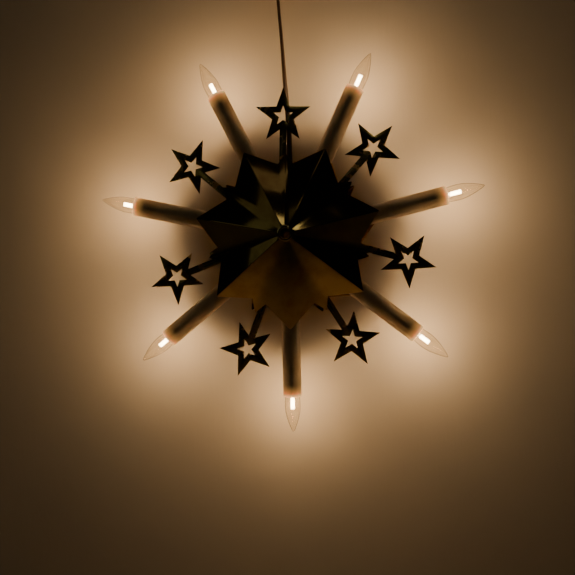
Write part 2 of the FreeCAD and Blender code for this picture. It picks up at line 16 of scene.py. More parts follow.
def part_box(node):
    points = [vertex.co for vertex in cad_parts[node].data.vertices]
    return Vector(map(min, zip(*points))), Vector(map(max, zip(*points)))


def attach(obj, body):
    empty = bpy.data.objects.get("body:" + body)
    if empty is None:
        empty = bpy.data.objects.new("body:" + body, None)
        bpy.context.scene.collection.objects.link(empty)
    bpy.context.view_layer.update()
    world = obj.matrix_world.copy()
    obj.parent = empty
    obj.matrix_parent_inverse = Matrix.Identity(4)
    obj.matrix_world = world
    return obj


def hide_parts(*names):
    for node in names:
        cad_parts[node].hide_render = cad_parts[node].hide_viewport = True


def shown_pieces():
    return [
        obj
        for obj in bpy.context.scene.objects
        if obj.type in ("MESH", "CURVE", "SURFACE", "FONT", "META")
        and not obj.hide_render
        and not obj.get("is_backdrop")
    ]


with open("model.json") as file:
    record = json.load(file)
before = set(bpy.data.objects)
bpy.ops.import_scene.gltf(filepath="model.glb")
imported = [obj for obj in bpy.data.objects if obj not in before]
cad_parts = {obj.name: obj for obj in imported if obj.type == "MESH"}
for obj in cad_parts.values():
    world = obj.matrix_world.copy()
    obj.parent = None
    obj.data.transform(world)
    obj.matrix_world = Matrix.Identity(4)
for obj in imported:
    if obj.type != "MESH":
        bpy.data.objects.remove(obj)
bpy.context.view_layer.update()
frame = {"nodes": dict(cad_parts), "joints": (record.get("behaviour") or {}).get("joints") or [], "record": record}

bpy.ops.object.select_all(action="DESELECT")

# %% [markdown]
# Everything on the star is placed round its middle, so that is measured first. The centre tube
# runs through it from front to back. Seven candles are spread evenly, with an arm between each
# two. Angles are counted anticlockwise from the right, as seen from the front.

# %% Measures that the whole star shares
MM = 0.001
POINTS = 7
STEP = 360.0 / POINTS
tube_low, tube_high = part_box("centre_tube")
STAR_CENTRE = (Vector(tube_low) + Vector(tube_high)) / 2
JOINTS = {joint["name"]: joint for joint in frame["joints"]}
BODY_OF = {node: body for body, nodes in frame["record"]["behaviour"]["bodies"].items() for node in nodes}
SLOT_OF = {part["node"]: part["material_slot"] for part in frame["record"]["subparts"]}


def candle_angle(k):
    return 270.0 + k * STEP


def arm_angle(k):
    return 270.0 + (k - 0.5) * STEP


def ray(degrees):
    """The direction that points out from the star's middle at this angle."""
    return Vector((math.cos(math.radians(degrees)), 0.0, math.sin(math.radians(degrees))))


def reach(node, degrees):
    """How near and how far a CAD node comes along a ray, in metres from the star's middle."""
    along = [(v.co - STAR_CENTRE).dot(ray(degrees)) for v in frame["nodes"][node].data.vertices]
    return min(along), max(along)


print("middle of the star:", [round(c / MM, 1) for c in STAR_CENTRE], "mm")

# %% [markdown]
# ## Camera
# The lamp is seen from just over half a metre away, a little to the right of its middle and a
# little below it, so its near tips look larger than its far ones. A wide lens at that distance
# keeps the same perspective. It is held by hand, so it is rolled a little.

# %% Camera
CAMERA_FROM_STAR = Vector((42.2, -563.0, -41.7)) * MM
CAMERA_LEFT = 4.515
CAMERA_DOWN = 0.82
CAMERA_ROLL = -1.46
LENS = 36.06
SENSOR = 36.0

camera_data = bpy.data.cameras.new("camera")
camera_data.lens = LENS
camera_data.sensor_width = SENSOR
camera_data.clip_start = 0.02
camera = bpy.data.objects.new("camera", camera_data)
bpy.context.scene.collection.objects.link(camera)
turned_left = Matrix.Rotation(math.radians(CAMERA_LEFT), 4, "Z")
looking_down = Matrix.Rotation(math.radians(90.0 - CAMERA_DOWN), 4, "X")
rolled = Matrix.Rotation(math.radians(CAMERA_ROLL), 4, "Z")
stand = Matrix.Translation(STAR_CENTRE + CAMERA_FROM_STAR)
camera.matrix_world = stand @ turned_left @ looking_down @ rolled
bpy.context.scene.camera = camera
print("camera at", [round(c, 3) for c in camera.location])

# %% [markdown]
# ## Working as by hand
# A modeller clicks an object, picks some of its corners, and drags, scales or extrudes them.
# These helpers do the same through Blender's own operators. An operator works on all that is
# selected, so `only` first lets go of everything else.

# %% Selecting and editing
def only(piece):
    bpy.ops.object.select_all(action="DESELECT")
    piece.select_set(True)
    bpy.context.view_layer.objects.active = piece


def edit(piece):
    only(piece)
    bpy.ops.object.mode_set(mode="EDIT")
    bpy.ops.mesh.select_mode(type="VERT")
    bpy.ops.mesh.select_all(action="SELECT")


def done():
    bpy.ops.object.mode_set(mode="OBJECT")


def pick(piece, wanted):
    """In edit mode, selects the corners whose place wanted() accepts, and what lies between them."""
    bpy.ops.mesh.select_all(action="DESELECT")
    shape = bmesh.from_edit_mesh(piece.data)
    for corner in shape.verts:
        corner.select = wanted(corner.co)
    shape.select_flush(True)
    bmesh.update_edit_mesh(piece.data)


def pick_edges(piece, wanted):
    """In edit mode, selects the edges whose middle and direction wanted() accepts."""
    bpy.ops.mesh.select_all(action="DESELECT")
    bpy.ops.mesh.select_mode(type="EDGE")
    shape = bmesh.from_edit_mesh(piece.data)
    for edge in shape.edges:
        ends = [corner.co for corner in edge.verts]
        edge.select = wanted((ends[0] + ends[1]) / 2, (ends[1] - ends[0]).normalized())
    bmesh.update_edit_mesh(piece.data)


def apply_modifier(piece, kind, **settings):
    only(piece)
    modifier = piece.modifiers.new(kind.lower(), kind)
    for name, value in settings.items():
        setattr(modifier, name, value)
    bpy.ops.object.modifier_apply(modifier=modifier.name)


def settle(piece):
    """Moves the piece's place into its mesh, so that the object itself sits at the origin."""
    only(piece)
    bpy.ops.object.transform_apply(location=True, rotation=True, scale=True)


def close_up(piece):
    """Merges corners that lie on each other and turns every face outwards."""
    edit(piece)
    bpy.ops.mesh.remove_doubles(threshold=0.01 * MM)
    bpy.ops.mesh.select_all(action="SELECT")
    bpy.ops.mesh.normals_make_consistent(inside=False)
    done()


def smooth(piece, degrees=35.0):
    only(piece)
    bpy.ops.object.shade_smooth_by_angle(angle=math.radians(degrees))


def copy_of(piece, name):
    only(piece)
    bpy.ops.object.duplicate(linked=False)
    twin = bpy.context.view_layer.objects.active
    twin.name = name
    twin.data.name = name
    return twin


def throw_away(*pieces):
    for piece in pieces:
        bpy.data.objects.remove(piece, do_unlink=True)


# %% [markdown]
# Most fittings are turned on a lathe. `turned` works the same way: a disc is extruded upwards
# again and again, and each new ring is scaled to its own radius. A spin of a profile would also
# do, but rings in a list read like the drawing that a turner works from.

# %% A lathe made of extrusions
def turned(name, rings, segments=48, hollow=False):
    """Turns (radius, height) rings in millimetres about +Z.

    A hollow piece's rings go up its outside and come down its inside, back to the first."""
    radius, height = rings[0]
    bpy.ops.object.select_all(action="DESELECT")
    bpy.ops.mesh.primitive_circle_add(
        vertices=segments, radius=radius * MM, location=(0, 0, height * MM),
        fill_type="NOTHING" if hollow else "NGON")
    piece = bpy.context.view_layer.objects.active
    piece.name = name
    piece.data.name = name
    settle(piece)
    edit(piece)
    for next_radius, next_height in list(rings[1:]) + (rings[:1] if hollow else []):
        rise = (next_height - height) * MM
        share = next_radius / radius
        bpy.ops.mesh.extrude_region_move(TRANSFORM_OT_translate={"value": (0, 0, rise)})
        bpy.ops.transform.resize(value=(share, share, 1), center_override=(0, 0, next_height * MM))
        radius, height = next_radius, next_height
    done()
    close_up(piece)
    smooth(piece)
    return piece


def point_outwards(piece, degrees, start=0.0):
    """Turns a piece built along +Z to point out from the star's middle, start metres along its ray."""
    turn = Matrix.Rotation(math.radians(90.0 - degrees), 4, "Y")
    piece.matrix_world = Matrix.Translation(STAR_CENTRE + ray(degrees) * start) @ turn
    settle(piece)
    return piece


# %% [markdown]
# ## The flex
# The star hangs from a flat twin flex. It comes straight out of the drum, leaves through a
# notch in the rear star and rises to the ceiling cup, with the slight waves that a flex keeps
# from its coil. Its section is two round cores side by side, so a small profile curve is swept
# along the route, and the tilt at each point turns the flat side from edge-on to face-on.

# %% Route of the flex
FLEX_WIDTH = 5.4 * MM
FLEX_THICKNESS = 3.0 * MM
FLEX_ROUTE = (
    (0.0085, 0.0028, -0.2455),
    (0.0085, 0.0029, -0.2280),
    (0.0083, 0.0025, -0.2100),
    (0.0081, 0.0012, -0.1910),
    (0.0084, 0.0002, -0.1720),
    (0.0068, 0.0000, -0.1440),
    (0.0050, 0.0001, -0.1160),
    (0.0035, 0.0000, -0.0860),
    (0.0016, 0.0001, -0.0580),
    (0.0001, 0.0000, -0.0320),
    (0.0000, 0.0000, -0.0120),
)
FLEX_TURNS = (0, 0, 0, 10, 25, 45, 65, 80, 88, 90, 90)

route = bpy.data.curves.new("flex_route", "CURVE")
route.dimensions = "3D"
route.twist_mode = "MINIMUM"
spline = route.splines.new("NURBS")
spline.points.add(len(FLEX_ROUTE) - 1)
for point, place, turn in zip(spline.points, FLEX_ROUTE, FLEX_TURNS):
    point.co = (*place, 1.0)
    point.tilt = math.radians(turn)
spline.order_u = 3
spline.use_endpoint_u = True
spline.resolution_u = 10
flex_guide = bpy.data.objects.new("flex_guide", route)
bpy.context.scene.collection.objects.link(flex_guide)
bpy.context.view_layer.update()
centre_line = bpy.data.meshes.new_from_object(flex_guide)

# %% [markdown]
# The profile is one closed curve with a shallow waist between the two cores, where the real
# flex can be torn in two. Its handles are automatic, so eight points are enough.

# %% Section of the flex, swept along the route
WAIST = 0.80
half_flat = (FLEX_WIDTH - FLEX_THICKNESS) / 2
core_r = FLEX_THICKNESS / 2
lobe = core_r * math.sqrt(0.5)
corners = [
    (half_flat + core_r, 0), (half_flat + lobe, lobe), (half_flat, core_r), (half_flat - lobe, 0.97 * core_r),
    (0, WAIST * core_r),
]
corners += [(-x, y) for x, y in corners[-2::-1]]
corners += [(x, -y) for x, y in corners[-2:0:-1]]
section = bpy.data.curves.new("flex_section", "CURVE")
section.dimensions = "2D"
loop = section.splines.new("BEZIER")
loop.bezier_points.add(len(corners) - 1)
for point, (x, y) in zip(loop.bezier_points, corners):
    point.co = (x, y, 0)
    point.handle_left_type = point.handle_right_type = "AUTO"
loop.use_cyclic_u = True
loop.resolution_u = 3
flex_section = bpy.data.objects.new("flex_section", section)
bpy.context.scene.collection.objects.link(flex_section)

route.bevel_mode = "OBJECT"
route.bevel_object = flex_section
route.use_fill_caps = True
only(flex_guide)
bpy.ops.object.convert(target="MESH")
flex = bpy.context.view_layer.objects.active
flex.name = "twin_flex"
throw_away(flex_section)
close_up(flex)
smooth(flex, 60.0)
print("twin_flex:", len(flex.data.polygons), "faces")

# %% [markdown]
# ## Finishes
# Every finish is made of shader nodes that read Object coordinates, so it needs no pictures and
# stays on the metal when the lamp is turned. Effects that several finishes share are node
# groups, built once: blotches of tarnish, fine scratches that run one way, and shallow waves
# in the sheet, which is what makes a folded facet reflect so unevenly.

# %% Node helpers
def add(tree, kind, **settings):
    node = tree.nodes.new(kind)
    for name, value in settings.items():
        setattr(node, name, value)
    return node


def wire(tree, *path):
    """Links sockets in pairs: from, to, from, to."""
    for source, target in zip(path[::2], path[1::2]):
        tree.links.new(source, target)


def group_tree(name, inputs, outputs):
    """A new node group. inputs are (name, socket type, value); outputs are (name, socket type)."""
    tree = bpy.data.node_groups.new(name, "ShaderNodeTree")
    for label, kind, value in inputs:
        socket = tree.interface.new_socket(label, in_out="INPUT", socket_type="NodeSocket" + kind)
        if value is not None:
            socket.default_value = value
    for label, kind in outputs:
        tree.interface.new_socket(label, in_out="OUTPUT", socket_type="NodeSocket" + kind)
    return tree, add(tree, "NodeGroupInput"), add(tree, "NodeGroupOutput")


# %% Group: blotches of tarnish
tarnish, given, result = group_tree(
    "tarnish",
    [("Vector", "Vector", None), ("Scale", "Float", 40.0), ("Bright", "Color", None), ("Dull", "Color", None),
     ("Polished", "Float", 0.1), ("Clouded", "Float", 0.3)],
    [("Color", "Color"), ("Roughness", "Float")])
clouds = add(tarnish, "ShaderNodeTexNoise")
clouds.inputs["Detail"].default_value = 6.0
clouds.inputs["Roughness"].default_value = 0.6
spread = add(tarnish, "ShaderNodeMapRange")
spread.inputs["From Min"].default_value = 0.38
spread.inputs["From Max"].default_value = 0.68
colour = add(tarnish, "ShaderNodeMix", data_type="RGBA")
rough = add(tarnish, "ShaderNodeMix", data_type="FLOAT")
wire(tarnish,
     given.outputs["Vector"], clouds.inputs["Vector"], given.outputs["Scale"], clouds.inputs["Scale"],
     clouds.outputs["Fac"], spread.inputs["Value"],
     spread.outputs["Result"], colour.inputs["Factor"], spread.outputs["Result"], rough.inputs["Factor"],
     given.outputs["Bright"], colour.inputs["A"], given.outputs["Dull"], colour.inputs["B"],
     given.outputs["Polished"], rough.inputs["A"], given.outputs["Clouded"], rough.inputs["B"],
     colour.outputs["Result"], result.inputs["Color"], rough.outputs["Result"], result.inputs["Roughness"])

# %% Group: waves and fine scratches in sheet metal
sheet_surface, given, result = group_tree(
    "sheet_surface",
    [("Vector", "Vector", None), ("Wave scale", "Float", 30.0), ("Wave depth", "Float", 1.0),
     ("Scratch scale", "Float", 900.0), ("Scratch depth", "Float", 0.05),
     ("Stretch", "Vector", (1.0, 1.0, 0.05))],
    [("Height", "Float")])
waves = add(sheet_surface, "ShaderNodeTexNoise")
waves.inputs["Detail"].default_value = 1.5
drawn = add(sheet_surface, "ShaderNodeVectorMath", operation="MULTIPLY")
scratches = add(sheet_surface, "ShaderNodeTexNoise")
scratches.inputs["Detail"].default_value = 3.0
deep = add(sheet_surface, "ShaderNodeMath", operation="MULTIPLY")
fine = add(sheet_surface, "ShaderNodeMath", operation="MULTIPLY")
total = add(sheet_surface, "ShaderNodeMath", operation="ADD")
wire(sheet_surface,
     given.outputs["Vector"], waves.inputs["Vector"], given.outputs["Wave scale"], waves.inputs["Scale"],
     given.outputs["Vector"], drawn.inputs[0], given.outputs["Stretch"], drawn.inputs[1],
     drawn.outputs["Vector"], scratches.inputs["Vector"],
     given.outputs["Scratch scale"], scratches.inputs["Scale"],
     waves.outputs["Fac"], deep.inputs[0], given.outputs["Wave depth"], deep.inputs[1],
     scratches.outputs["Fac"], fine.inputs[0], given.outputs["Scratch depth"], fine.inputs[1],
     deep.outputs["Value"], total.inputs[0], fine.outputs["Value"], total.inputs[1],
     total.outputs["Value"], result.inputs["Height"])

# %% Group: how far out from the star's middle a point lies
distance_out, given, result = group_tree(
    "distance_out", [("Vector", "Vector", None), ("Start", "Float", 0.15), ("End", "Float", 0.156)],
    [("Mask", "Float")])
from_middle = add(distance_out, "ShaderNodeVectorMath", operation="DISTANCE")
from_middle.inputs[1].default_value = STAR_CENTRE
ramp = add(distance_out, "ShaderNodeMapRange", interpolation_type="SMOOTHSTEP")
wire(distance_out,
     given.outputs["Vector"], from_middle.inputs[0], from_middle.outputs["Value"], ramp.inputs["Value"],
     given.outputs["Start"], ramp.inputs["From Min"], given.outputs["End"], ramp.inputs["From Max"],
     ramp.outputs["Result"], result.inputs["Mask"])
print("node groups:", sorted(group.name for group in bpy.data.node_groups))

# %% [markdown]
# A material starts as a Principled shader, a bump node and the Object coordinates. Values that
# are the same all over are set on the shader itself.

# %% Starting a material
def new_finish(name, bump=1.0, **settings):
    """A material with a Principled shader. Returns (material, tree, shader, coordinates, bump node)."""
    material = bpy.data.materials.new(name)
    material.use_nodes = True
    tree = material.node_tree
    shader = tree.nodes["Principled BSDF"]
    for label, value in settings.items():
        shader.inputs[label.replace("_", " ")].default_value = value
    place = add(tree, "ShaderNodeTexCoord").outputs["Object"]
    relief = add(tree, "ShaderNodeBump")
    relief.inputs["Strength"].default_value = 1.0
    relief.inputs["Distance"].default_value = bump * MM
    wire(tree, relief.outputs["Normal"], shader.inputs["Normal"])
    return material, tree, shader, place, relief


def use_group(tree, group, place, **values):
    node = add(tree, "ShaderNodeGroup", node_tree=group)
    for label, value in values.items():
        node.inputs[label.replace("_", " ")].default_value = value
    wire(tree, place, node.inputs["Vector"])
    return node


# %% [markdown]
# ### Brass
# The stars are lacquered sheet brass, polished before it was folded. Polished metal shows its
# surroundings more than its own colour, so its roughness is low and the waves do the work. The
# turned fittings are brighter, and the arms, which are handled most, are duller.

# %% Brass finishes
def brass(name, bright, dull, polished, clouded, patch=35.0, waves=28.0, depth=0.5, scratch=0.01,
          stretch=(1.0, 1.0, 0.06)):
    material, tree, shader, place, relief = new_finish(name, bump=depth, Metallic=1.0)
    colours = use_group(tree, tarnish, place, Scale=patch, Bright=bright, Dull=dull, Polished=polished,
                        Clouded=clouded)
    surface = use_group(tree, sheet_surface, place, Wave_scale=waves, Scratch_depth=scratch, Stretch=stretch)
    wire(tree, colours.outputs["Color"], shader.inputs["Base Color"],
         colours.outputs["Roughness"], shader.inputs["Roughness"],
         surface.outputs["Height"], relief.inputs["Height"])
    return material


STAR_BRASS = brass("star_brass", (0.58, 0.38, 0.12, 1), (0.38, 0.20, 0.06, 1), 0.07, 0.17)
ARM_BRASS = brass("arm_brass", (0.56, 0.38, 0.12, 1), (0.34, 0.20, 0.07, 1), 0.16, 0.34, patch=70.0)
FITTING_BRASS = brass("fitting_brass", (0.80, 0.60, 0.26, 1), (0.52, 0.34, 0.12, 1), 0.08, 0.22, patch=120.0,
                      waves=60.0, depth=0.1, scratch=0.1, stretch=(1.0, 0.04, 1.0))
CUP_BRASS = brass("cup_brass", (0.66, 0.47, 0.17, 1), (0.42, 0.26, 0.08, 1), 0.12, 0.28, patch=45.0,
                  waves=30.0, depth=0.1, scratch=0.2, stretch=(0.05, 0.05, 1.0))
BULB_CAP = brass("bulb_cap", (0.78, 0.62, 0.34, 1), (0.50, 0.36, 0.16, 1), 0.18, 0.36, patch=200.0,
                 waves=150.0, depth=0.05, scratch=0.1)
print("brass finishes made")

# %% [markdown]
# ### Steel
# The drum, the brackets and the small nuts are plated steel that nobody polishes: greyer, with
# a fine grain from rolling.

# %% Steel finishes
DRUM_STEEL = brass("drum_steel", (0.46, 0.42, 0.35, 1), (0.30, 0.26, 0.21, 1), 0.28, 0.45, patch=60.0,
                   waves=80.0, depth=0.1, scratch=0.2)
STEEL = brass("steel", (0.58, 0.58, 0.57, 1), (0.36, 0.35, 0.33, 1), 0.24, 0.42, patch=150.0, waves=120.0,
              depth=0.08, scratch=0.2)

# %% [markdown]
# ### Plastics
# Moulded parts have a soft sheen over a very fine pebbled skin. One function makes them all,
# with a little dirt that darkens them unevenly.

# %% Moulded plastics
def moulded(name, clean, dirty, roughness, patch=60.0, pebbles=1800.0, depth=0.03, **settings):
    material, tree, shader, place, relief = new_finish(name, bump=depth, **settings)
    colours = use_group(tree, tarnish, place, Scale=patch, Bright=clean, Dull=dirty, Polished=roughness,
                        Clouded=roughness + 0.12)
    skin = add(tree, "ShaderNodeTexNoise")
    skin.inputs["Scale"].default_value = pebbles
    wire(tree, place, skin.inputs["Vector"], skin.outputs["Fac"], relief.inputs["Height"],
         colours.outputs["Color"], shader.inputs["Base Color"],
         colours.outputs["Roughness"], shader.inputs["Roughness"])
    return material


HOLDER_PLASTIC = moulded("holder_plastic", (0.70, 0.64, 0.52, 1), (0.50, 0.42, 0.30, 1), 0.38)
BLOCK_PLASTIC = moulded("block_plastic", (0.78, 0.76, 0.70, 1), (0.60, 0.55, 0.45, 1), 0.40)
BLACK_PLASTIC = moulded("black_plastic", (0.030, 0.026, 0.022, 1), (0.055, 0.045, 0.035, 1), 0.35)
WIRE_COVER = moulded("wire_cover", (0.70, 0.66, 0.56, 1), (0.48, 0.42, 0.32, 1), 0.32, pebbles=900.0)
FLEX_COVER = moulded("flex_cover", (0.085, 0.045, 0.022, 1), (0.050, 0.026, 0.014, 1), 0.30, patch=90.0,
                     pebbles=700.0)

# %% [markdown]
# ### Candle sleeves
# A sleeve is a thin tube of ivory plastic. Light from the bulb gets into its wall at the mouth
# and dies away within a centimetre, so the last stretch glows amber. That glow is painted by
# distance from the star's middle, and the rest of the tube lets a little light through.

# %% Candle sleeve finish
mouth = reach("candle_sleeve_1", candle_angle(0))[1]
GLOW_LENGTH = 13 * MM


def sleeve_finish():
    material, tree, shader, place, relief = new_finish(
        "candle_sleeve", bump=0.03, Emission_Strength=0.75, IOR=1.46, Subsurface_Weight=0.25,
        Subsurface_Radius=(0.004, 0.003, 0.002), Subsurface_Scale=0.4)
    colours = use_group(tree, tarnish, place, Scale=55.0, Bright=(0.62, 0.47, 0.28, 1),
                        Dull=(0.50, 0.34, 0.18, 1), Polished=0.32, Clouded=0.46)
    skin = use_group(tree, sheet_surface, place, Wave_scale=200.0, Wave_depth=0.4, Scratch_depth=0.4,
                     Scratch_scale=1500.0)
    near_mouth = use_group(tree, distance_out, place, Start=mouth - GLOW_LENGTH, End=mouth + 1.5 * MM)
    at_rim = use_group(tree, distance_out, place, Start=mouth - 3.5 * MM, End=mouth)
    amber = add(tree, "ShaderNodeMix", data_type="RGBA")
    amber.inputs["A"].default_value = (0, 0, 0, 1)
    amber.inputs["B"].default_value = (0.60, 0.29, 0.075, 1)
    gold = add(tree, "ShaderNodeMix", data_type="RGBA")
    gold.inputs["B"].default_value = (1.0, 0.66, 0.30, 1)
    wire(tree, near_mouth.outputs["Mask"], amber.inputs["Factor"], amber.outputs["Result"], gold.inputs["A"],
         at_rim.outputs["Mask"], gold.inputs["Factor"],
         gold.outputs["Result"], shader.inputs["Emission Color"],
         colours.outputs["Color"], shader.inputs["Base Color"],
         colours.outputs["Roughness"], shader.inputs["Roughness"],
         skin.outputs["Height"], relief.inputs["Height"])
    return material


SLEEVE = sleeve_finish()

# %% [markdown]
# ### Glass and light
# The bulbs are clear glass with a faint ripple where it was drawn to a point. The filament is
# so bright that it has no colour of its own, and looks almost white.

# %% Glass and filament
def clear_glass():
    material, tree, shader, place, relief = new_finish(
        "bulb_glass", bump=0.05, IOR=1.45, Transmission_Weight=1.0, Base_Color=(1.0, 0.97, 0.92, 1))
    ripple = use_group(tree, sheet_surface, place, Wave_scale=150.0, Scratch_depth=0.0)
    film = use_group(tree, tarnish, place, Scale=120.0, Bright=(1, 1, 1, 1), Dull=(1, 1, 1, 1), Polished=0.02,
                     Clouded=0.07)
    wire(tree, ripple.outputs["Height"], relief.inputs["Height"],
         film.outputs["Roughness"], shader.inputs["Roughness"])
    return material


def glowing_filament():
    material, tree, shader, place, relief = new_finish(
        "filament", bump=0.02, Emission_Strength=60.0, Base_Color=(0.2, 0.2, 0.2, 1))
    hot = use_group(tree, tarnish, place, Scale=90.0, Bright=(1.0, 0.80, 0.50, 1), Dull=(1.0, 0.66, 0.32, 1))
    wire(tree, hot.outputs["Color"], shader.inputs["Emission Color"],
         hot.outputs["Roughness"], relief.inputs["Height"])
    return material


GLASS = clear_glass()
FILAMENT = glowing_filament()
FINISH_OF_SLOT = {
    "star_brass": STAR_BRASS, "arm_brass": ARM_BRASS, "fitting_brass": FITTING_BRASS, "cup_brass": CUP_BRASS,
    "drum_steel": DRUM_STEEL, "steel": STEEL, "candle_sleeve": SLEEVE, "holder_plastic": HOLDER_PLASTIC,
    "bulb_cap": BULB_CAP, "bulb_glass": GLASS, "wire_cover": WIRE_COVER, "block_plastic": BLOCK_PLASTIC,
    "black_plastic": BLACK_PLASTIC, "flex_cover": FLEX_COVER,
}
print("finishes:", len(FINISH_OF_SLOT) + 1)

# %% [markdown]
# Each new piece stands for a node of the frame: it takes that node's body, so that it moves
# with it, and by default the finish of that node's material slot.

# %% Handing a piece over to the frame
def stands_for(piece, node, finish=None, hides=True):
    piece.data.materials.clear()
    piece.data.materials.append(finish or FINISH_OF_SLOT[SLOT_OF[node]])
    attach(piece, BODY_OF[node])
    if hides:
        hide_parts(node)
    return piece


stands_for(flex, "flex")

# %% [markdown]
# ## The folded stars
# Each large star is one disc of sheet brass, folded into seven ridges that run out to long
# points and seven valleys that end in short ones, with its middle pressed flat for the nut. It
# could be drawn facet by facet, but a fan of triangles already has an edge for every fold. So
# the fan's rim is pulled into points, and then its folds are rounded and its top cut flat.

# %% Heights of the folds, read from the frame
STAR_TIP_R = 90.0
STUB_TIP_R = 81.5
INNER_R = 69.5
STUB_HALF_ANGLE = 5.85
BOSS_DEPTH = 3.2
SHEET = 0.6
FRONT_TURN = 0.5
REAR_TURN = 2.5
FOLD_WIDTH = 0.75


def height_at(radius, degrees):
    """How far the front star's outer face stands in front of the middle there, in millimetres."""
    place = STAR_CENTRE + ray(degrees + FRONT_TURN) * radius * MM
    corners_there = [v.co for v in frame["nodes"]["front_star"].data.vertices
                     if (Vector((v.co.x, place.y, v.co.z)) - place).length < 0.4 * MM]
    return (STAR_CENTRE.y - min(co.y for co in corners_there)) / MM


tip_height = height_at(STAR_TIP_R, candle_angle(0))
stub_height = height_at(STUB_TIP_R, arm_angle(0))
inner_height = height_at(INNER_R, arm_angle(0) + STUB_HALF_ANGLE)
boss_height = (STAR_CENTRE.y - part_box("front_star")[0][1]) / MM
print("heights: tip %.2f, stub %.2f, inner corner %.2f, boss %.2f mm"
      % (tip_height, stub_height, inner_height, boss_height))

# %% [markdown]
# The fan has four rim corners for each point of the star: a tip, an inner corner, the short
# point and the other inner corner. All seven of a kind are moved together. The inner corners
# stand closer to the short point than the fan puts them, so they are turned towards it.

# %% Pull a fan into a folded star
RIM_STEP = STEP / 4


def rim_place(co):
    """(radius, which of the four kinds of rim corner) for a corner of the flat fan."""
    degrees = math.degrees(math.atan2(co.y, co.x))
    return co.to_2d().length, round((degrees - candle_angle(0)) / RIM_STEP) % 4


def move_rim(star, kind, radius, height, turn=0.0):
    pick(star, lambda co: rim_place(co)[0] > MM and rim_place(co)[1] == kind and co.z == 0)
    share = radius / STAR_TIP_R
    bpy.ops.transform.resize(value=(share, share, 1), center_override=(0, 0, 0))
    bpy.ops.transform.rotate(value=math.radians(-turn), orient_axis="Z", center_override=(0, 0, 0))
    bpy.ops.transform.translate(value=(0, 0, height * MM))


bpy.ops.object.select_all(action="DESELECT")
bpy.ops.mesh.primitive_circle_add(vertices=4 * POINTS, radius=STAR_TIP_R * MM, fill_type="TRIFAN")
folded = bpy.context.view_layer.objects.active
folded.name = "folded_pattern"
edit(folded)
towards_stub = STEP / 2 - STUB_HALF_ANGLE - RIM_STEP
move_rim(folded, 1, INNER_R, inner_height, towards_stub)
move_rim(folded, 3, INNER_R, inner_height, -towards_stub)
move_rim(folded, 2, STUB_TIP_R, stub_height)
move_rim(folded, 0, STAR_TIP_R, tip_height)
pick(folded, lambda co: co.to_2d().length < MM)
bpy.ops.transform.translate(value=(0, 0, (boss_height + BOSS_DEPTH) * MM))
done()
print("folded star:", len(folded.data.polygons), "facets")

# %% [markdown]
# The triangles on each side of a fold lie in one plane, so a limited dissolve joins them and
# leaves only real folds. Those get a small bevel, as a press makes no knife edges. The sheet's
# thickness goes inwards, and last the hole for the tube is cut and the rim's edges are eased.

# %% Round the folds, flatten the middle and thicken the sheet
TUBE_HOLE_R = 5.2
FOLDS_INSIDE = 60.0
RIM_EASE = 0.12
edit(folded)
bpy.ops.mesh.dissolve_limited(angle_limit=math.radians(1.0))
bpy.ops.mesh.select_all(action="SELECT")
bpy.ops.mesh.bisect(
    plane_co=(0, 0, boss_height * MM), plane_no=(0, 0, 1), clear_outer=True, use_fill=True)
pick_edges(folded, lambda middle, along: abs(along.z) > 0.2 and middle.to_2d().length < FOLDS_INSIDE * MM)
bpy.ops.mesh.bevel(offset=FOLD_WIDTH * MM, segments=3, affect="EDGES")
done()
close_up(folded)
if sum(face.normal.z for face in folded.data.polygons) < 0:
    edit(folded)
    bpy.ops.mesh.flip_normals()
    done()
apply_modifier(folded, "SOLIDIFY", thickness=SHEET * MM, offset=-1.0, use_even_offset=True)
hole = turned("hole", [(TUBE_HOLE_R, boss_height - 5), (TUBE_HOLE_R, boss_height + 5)])
apply_modifier(folded, "BOOLEAN", object=hole, operation="DIFFERENCE", solver="EXACT")
throw_away(hole)
apply_modifier(folded, "BEVEL", width=RIM_EASE * MM, segments=2, limit_method="ANGLE",
               angle_limit=math.radians(50))
smooth(folded, 28.0)
print("folded star:", len(folded.data.polygons), "faces")


# %% [markdown]
# The pattern is copied for the front and the back. Seen from its own side each is the same
# shape, turned a little by hand when the nut was tightened. The rear one gets a notch in its
# top valley, where the flex leaves.

# %% Place the two stars
def face_side(piece, side, turn=0.0, start=0.0):
    """Turns a piece built along +Z to face the front (side -1) or the back (side 1)."""
    about = Matrix.Rotation(math.pi if side > 0 else 0.0, 4, "Z")
    upright = Matrix.Rotation(math.radians(90.0), 4, "X")
    spun = Matrix.Rotation(math.radians(turn), 4, "Z")
    place = Matrix.Translation(STAR_CENTRE + Vector((0, side * start, 0)))
    piece.matrix_world = place @ about @ upright @ spun
    settle(piece)
    return piece


NOTCH_WIDTH = 8.0
NOTCH_DEPTH = 24.0
NOTCH_REACH = 40 * MM
NOTCH_START = 0.1 * MM
front_star = face_side(copy_of(folded, "front_star_folded"), -1, FRONT_TURN)
rear_star = face_side(folded, 1, REAR_TURN)
rear_star.name = "rear_star_folded"
bpy.ops.object.select_all(action="DESELECT")
bpy.ops.mesh.primitive_cube_add(size=1.0)
notch = bpy.context.view_layer.objects.active
notch.scale = (NOTCH_WIDTH * MM, NOTCH_REACH, NOTCH_DEPTH * MM)
notch_middle = INNER_R - NOTCH_WIDTH + NOTCH_DEPTH / 2
notch.location = (FLEX_ROUTE[2][0], STAR_CENTRE.y + NOTCH_START + NOTCH_REACH / 2,
                  STAR_CENTRE.z + notch_middle * MM)
settle(notch)
apply_modifier(rear_star, "BOOLEAN", object=notch, operation="DIFFERENCE", solver="EXACT")
throw_away(notch)
smooth(rear_star, 28.0)
stands_for(front_star, "front_star")
stands_for(rear_star, "rear_star")
print("front and rear stars placed")

